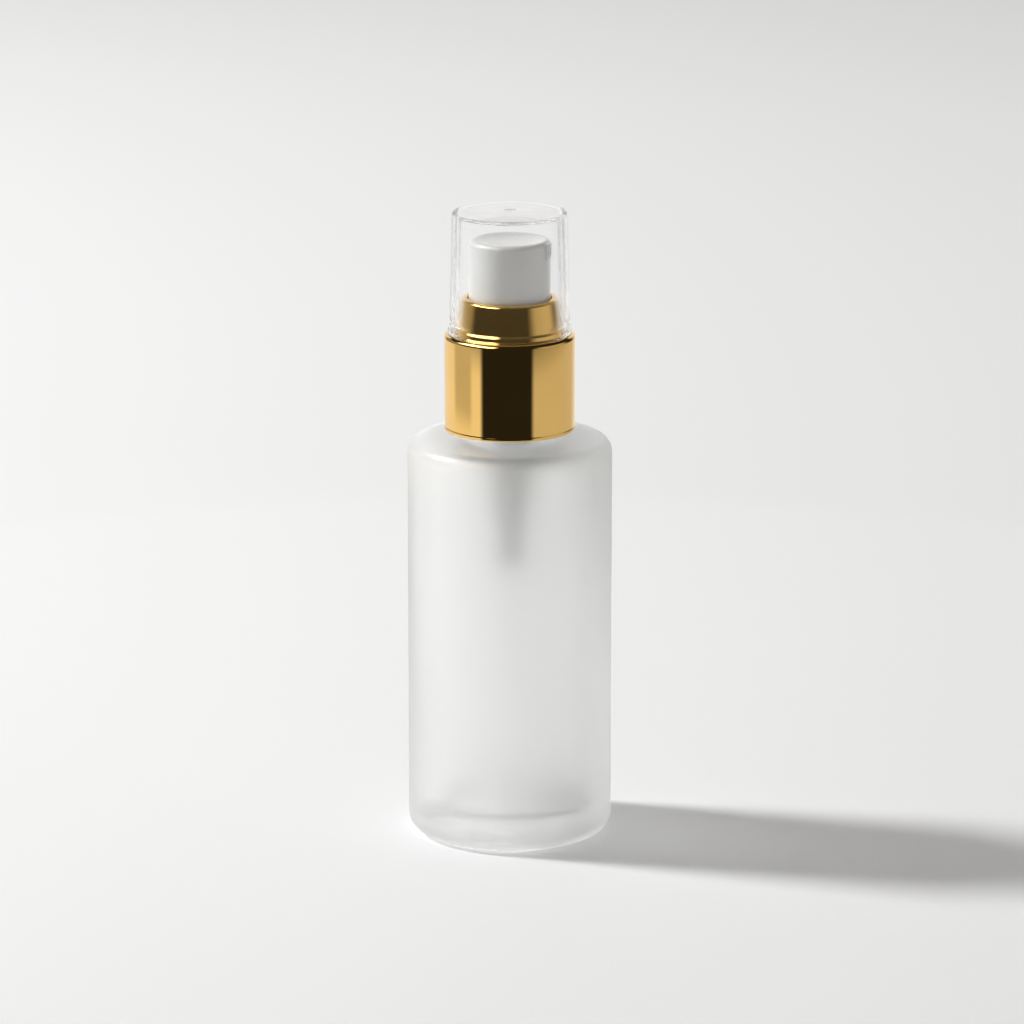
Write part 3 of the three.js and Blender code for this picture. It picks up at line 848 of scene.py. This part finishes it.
def make_piston():
    """The soft piston, with a thin wiping lip at each end."""
    lip_r, waist_r, bore_r = CYLINDER_BORE_R - 0.05, 2.75, 1.45
    bottom, top = ROD_HEAD_Z + 2.3, STEM_FOOT_Z - 0.1
    small_part("piston", [
        (bore_r, bottom), (2.4, bottom), (lip_r, bottom - 0.4, 0.06), (lip_r, bottom + 0.5),
        (waist_r, bottom + 1.4, 0.5), (waist_r, top - 1.4, 0.5), (lip_r, top - 0.5), (lip_r, top, 0.06),
        (2.7, top - 0.3), (bore_r, top - 0.3),
    ], "piston_body", "soft_plastic", SOFT)


def make_ball():
    """The inlet valve's ball: a half circle, turned."""
    turns = [math.pi * k / ARC_STEPS for k in range(1, ARC_STEPS)]
    side = [(BALL_R * math.sin(turn), BALL_Z - BALL_R * math.cos(turn)) for turn in turns]
    outline = [(0, BALL_Z - BALL_R), *side, (0, BALL_Z + BALL_R)]
    mesh = turned("inlet_ball_fine", outline, sides=48)
    new_piece("inlet_ball_fine", mesh, "ball_body", "spring_steel", "inlet_ball", STEEL)


def make_spring():
    """The coil, with its end turns closed up as a wound spring's are."""
    wire_r, coil_r, turns = 0.28, 2.4, 6
    bottom, top = low("return_spring") + wire_r, high("return_spring") - wire_r
    closed = 1  # turns at each end that lie flat against the next
    flat_rise = 2 * wire_r + 0.03  # how far such a turn climbs
    steps = turns * 28
    route = []
    for k in range(steps + 1):
        turn = turns * k / steps
        ends = min(turn, closed) + max(0, turn - (turns - closed))
        share = max(0, min(1, (turn - closed) / (turns - 2 * closed)))
        z = bottom + flat_rise * ends + (top - bottom - 2 * closed * flat_rise) * share
        route.append(Vector((coil_r * math.cos(TAU * turn), coil_r * math.sin(TAU * turn), z)))
    mesh = swept("return_spring_fine", route, wire_r, sides=12)
    piece = new_piece("return_spring_fine", mesh, "pump_body", "spring_steel", "return_spring", STEEL)
    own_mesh(piece)


def make_dip_tube():
    """The tube, straight down from the housing and curling towards the base's edge on a Bezier curve."""
    poles = [Vector(p) for p in ((0, 0, 55.4), (0, 0, 30), (5.5, 0, 20), (11.2, 0, 7.4))]
    steps = 48
    route = []
    for k in range(steps + 1):
        t = k / steps
        weights = ((1 - t) ** 3, 3 * t * (1 - t) ** 2, 3 * t * t * (1 - t), t ** 3)
        route.append(sum((pole * w for pole, w in zip(poles, weights)), Vector()))
    mesh = swept("dip_tube_fine", route, TUBE_R, TUBE_BORE_R, sides=32)
    new_piece("dip_tube_fine", mesh, "pump_body", "natural_plastic", "dip_tube", TUBING)


make_bottle()
make_collar_shell()
make_closure()
make_overcap()
make_actuator()
make_nozzle()
make_housing()
make_housing_cap()
make_gasket()
make_stem()
make_rod()
make_piston()
make_ball()
make_spring()
make_dip_tube()


# ---------------------------------------------------------------- floor and light
KEY_HEIGHT = math.radians(41)
KEY_TURN = math.radians(14.6)  # behind the line through the bottle that runs to the camera's left
KEY_DISTANCE_M = 1.6
KEY_TARGET_M = Vector((0, 0, 0.05))
KEY_SIZE_M = 0.27
KEY_WATTS = 22.3


def make_floor():
    build = bmesh.new()
    bmesh.ops.create_grid(build, x_segments=8, y_segments=8, size=4)
    mesh = built(build, "floor")
    mesh.materials.append(pale_floor())
    placed("floor", mesh)


def make_key_light():
    """A round soft light, high on the left and a little behind the bottle."""
    data = bpy.data.lights.new("key", "AREA")
    data.shape = "DISK"
    data.size = KEY_SIZE_M
    data.energy = KEY_WATTS
    data.color = (0.985, 0.99, 1.0)
    flat, up = math.cos(KEY_HEIGHT) * KEY_DISTANCE_M, math.sin(KEY_HEIGHT) * KEY_DISTANCE_M
    away = studio(-math.cos(KEY_TURN) * flat, math.sin(KEY_TURN) * flat, up)
    light = placed("key", data)
    light.location = KEY_TARGET_M + away
    light.rotation_euler = (-away).to_track_quat("-Z", "Y").to_euler()


# What polished surfaces see round the bottle: panels in a dark room, each laid over those before it.
# Angles are in degrees about the axis from the camera's side, positive to its right, and heights in
# millimetres: (middle angle, half width, soft edge, lowest, highest, soft edge, brightness)
ROOM_DARK = 0.02
PANELS = (
    (-120, 70, 8, -50, 60, 30, 0.95),  # white paper on the left
    (-90, 20, 10, 28, 70, 12, 0.6),  # a grey card in front of it
    (115, 75, 8, -50, 60, 30, 0.63),  # greyer paper on the right
    (180, 35, 25, -50, 210, 20, 0.9),  # the bright wall behind the bottle
    (80, 30, 25, 70, 180, 25, 0.5),  # the paper on the right, higher up
    (-115, 25, 20, 70, 190, 25, 0.3),  # the paper on the left, higher up
    (-70, 38, 20, 205, 360, 20, 5),  # a soft light high on the left
)
BRIGHT_HORIZON = studio(0.26, 0.97, 0)  # behind the bottle, a little to the right
ROOM_R = 250
ROOM_WALL = 200  # height where the wall turns into the domed ceiling
ROOM_DOME = 230  # how much higher the ceiling goes
ROOM_ROW = 8  # height between rows of the wall
ROOM_STEP = 2  # degrees between columns
DOME_STEP = 3  # degrees between rows of the ceiling


def inside_share(distance, half_width, soft):
    """1 well inside a panel, 0 well outside it, and a smooth change across its edge."""
    return 1 - smoothstep(half_width - soft / 2, half_width + soft / 2, distance)


def glow_at(degrees, height):
    """How bright the room is at an angle and height."""
    glow = ROOM_DARK
    for middle_angle, half_width, soft, lowest, highest, soft_height, brightness in PANELS:
        sideways = abs((degrees - middle_angle + 180) % 360 - 180)
        upward = abs(height - (lowest + highest) / 2)
        share = inside_share(sideways, half_width, soft)
        share *= inside_share(upward, (highest - lowest) / 2, soft_height)
        glow += (brightness - glow) * share
    return glow


def make_surroundings():
    """A round wall with a domed ceiling, light and dark, that only reflections see."""
    build = bmesh.new()
    layer = build.verts.layers.float.new("glow")
    heights = list(range(0, ROOM_WALL, ROOM_ROW))
    heights += [ROOM_WALL + ROOM_DOME * math.sin(math.radians(k)) for k in range(0, 90, DOME_STEP)]
    rows = []
    for height in heights:
        distance = ROOM_R * math.sqrt(1 - (max(0, height - ROOM_WALL) / ROOM_DOME) ** 2)
        row = []
        for degrees in range(-180, 180, ROOM_STEP):
            turn = math.radians(degrees)
            right, away = math.sin(turn) * distance, -math.cos(turn) * distance
            vertex = build.verts.new(studio(right * MM, away * MM, height * MM))
            vertex[layer] = glow_at(degrees, height)
            row.append(vertex)
        rows.append(row)
    for lower, upper in zip(rows, rows[1:]):
        strip(build, lower, upper)
    build.faces.new(rows[-1])
    mesh = built(build, "surroundings")
    wall = placed("surroundings", mesh)
    material = bpy.data.materials.new("surroundings")
    material.use_nodes = True
    tree = material.node_tree
    shader = tree.nodes["Principled BSDF"]
    shader.inputs["Base Color"].default_value = (0, 0, 0, 1)
    shader.inputs["Specular IOR Level"].default_value = 0
    shader.inputs["Emission Color"].default_value = (1, 0.985, 0.96, 1)
    glow = tree.nodes.new("ShaderNodeAttribute")
    glow.attribute_name = "glow"
    tree.links.new(glow.outputs["Fac"], shader.inputs["Emission Strength"])
    mesh.materials.append(material)
    for ray in ("camera", "diffuse", "transmission", "shadow", "volume_scatter"):
        setattr(wall, "visible_" + ray, False)


def make_world(overhead, horizon, camera_side):
    """Even light from above, bright towards the horizon behind the bottle and dim on the camera's side.
    The arguments are how bright each is."""
    world = bpy.data.worlds.new("studio")
    world.use_nodes = True
    tree = world.node_tree

    def ramp(source, from_min, from_max):
        """A smooth change as the source goes from one value to the other."""
        made = tree.nodes.new("ShaderNodeMapRange")
        made.interpolation_type = "SMOOTHSTEP"
        made.inputs["From Min"].default_value = from_min
        made.inputs["From Max"].default_value = from_max
        tree.links.new(source, made.inputs["Value"])
        return made

    place = tree.nodes.new("ShaderNodeTexCoord").outputs["Generated"]
    split = tree.nodes.new("ShaderNodeSeparateXYZ")
    tree.links.new(place, split.inputs["Vector"])
    away = tree.nodes.new("ShaderNodeVectorMath")
    away.operation = "DOT_PRODUCT"
    away.inputs[1].default_value = BRIGHT_HORIZON
    tree.links.new(place, away.inputs[0])
    round_about = ramp(away.outputs["Value"], -0.4, 0.3)
    round_about.inputs["To Min"].default_value = camera_side
    round_about.inputs["To Max"].default_value = horizon
    rise = ramp(split.outputs["Z"], 0.05, 0.75)
    tree.links.new(round_about.outputs["Result"], rise.inputs["To Min"])
    rise.inputs["To Max"].default_value = overhead
    background = tree.nodes["Background"]
    background.inputs["Color"].default_value = (1, 0.985, 0.955, 1)
    tree.links.new(rise.outputs["Result"], background.inputs["Strength"])
    scene.world = world


make_floor()
make_key_light()
make_surroundings()
make_world(overhead=0.34, horizon=0.9, camera_side=0.27)

scene.view_settings.view_transform = "Standard"
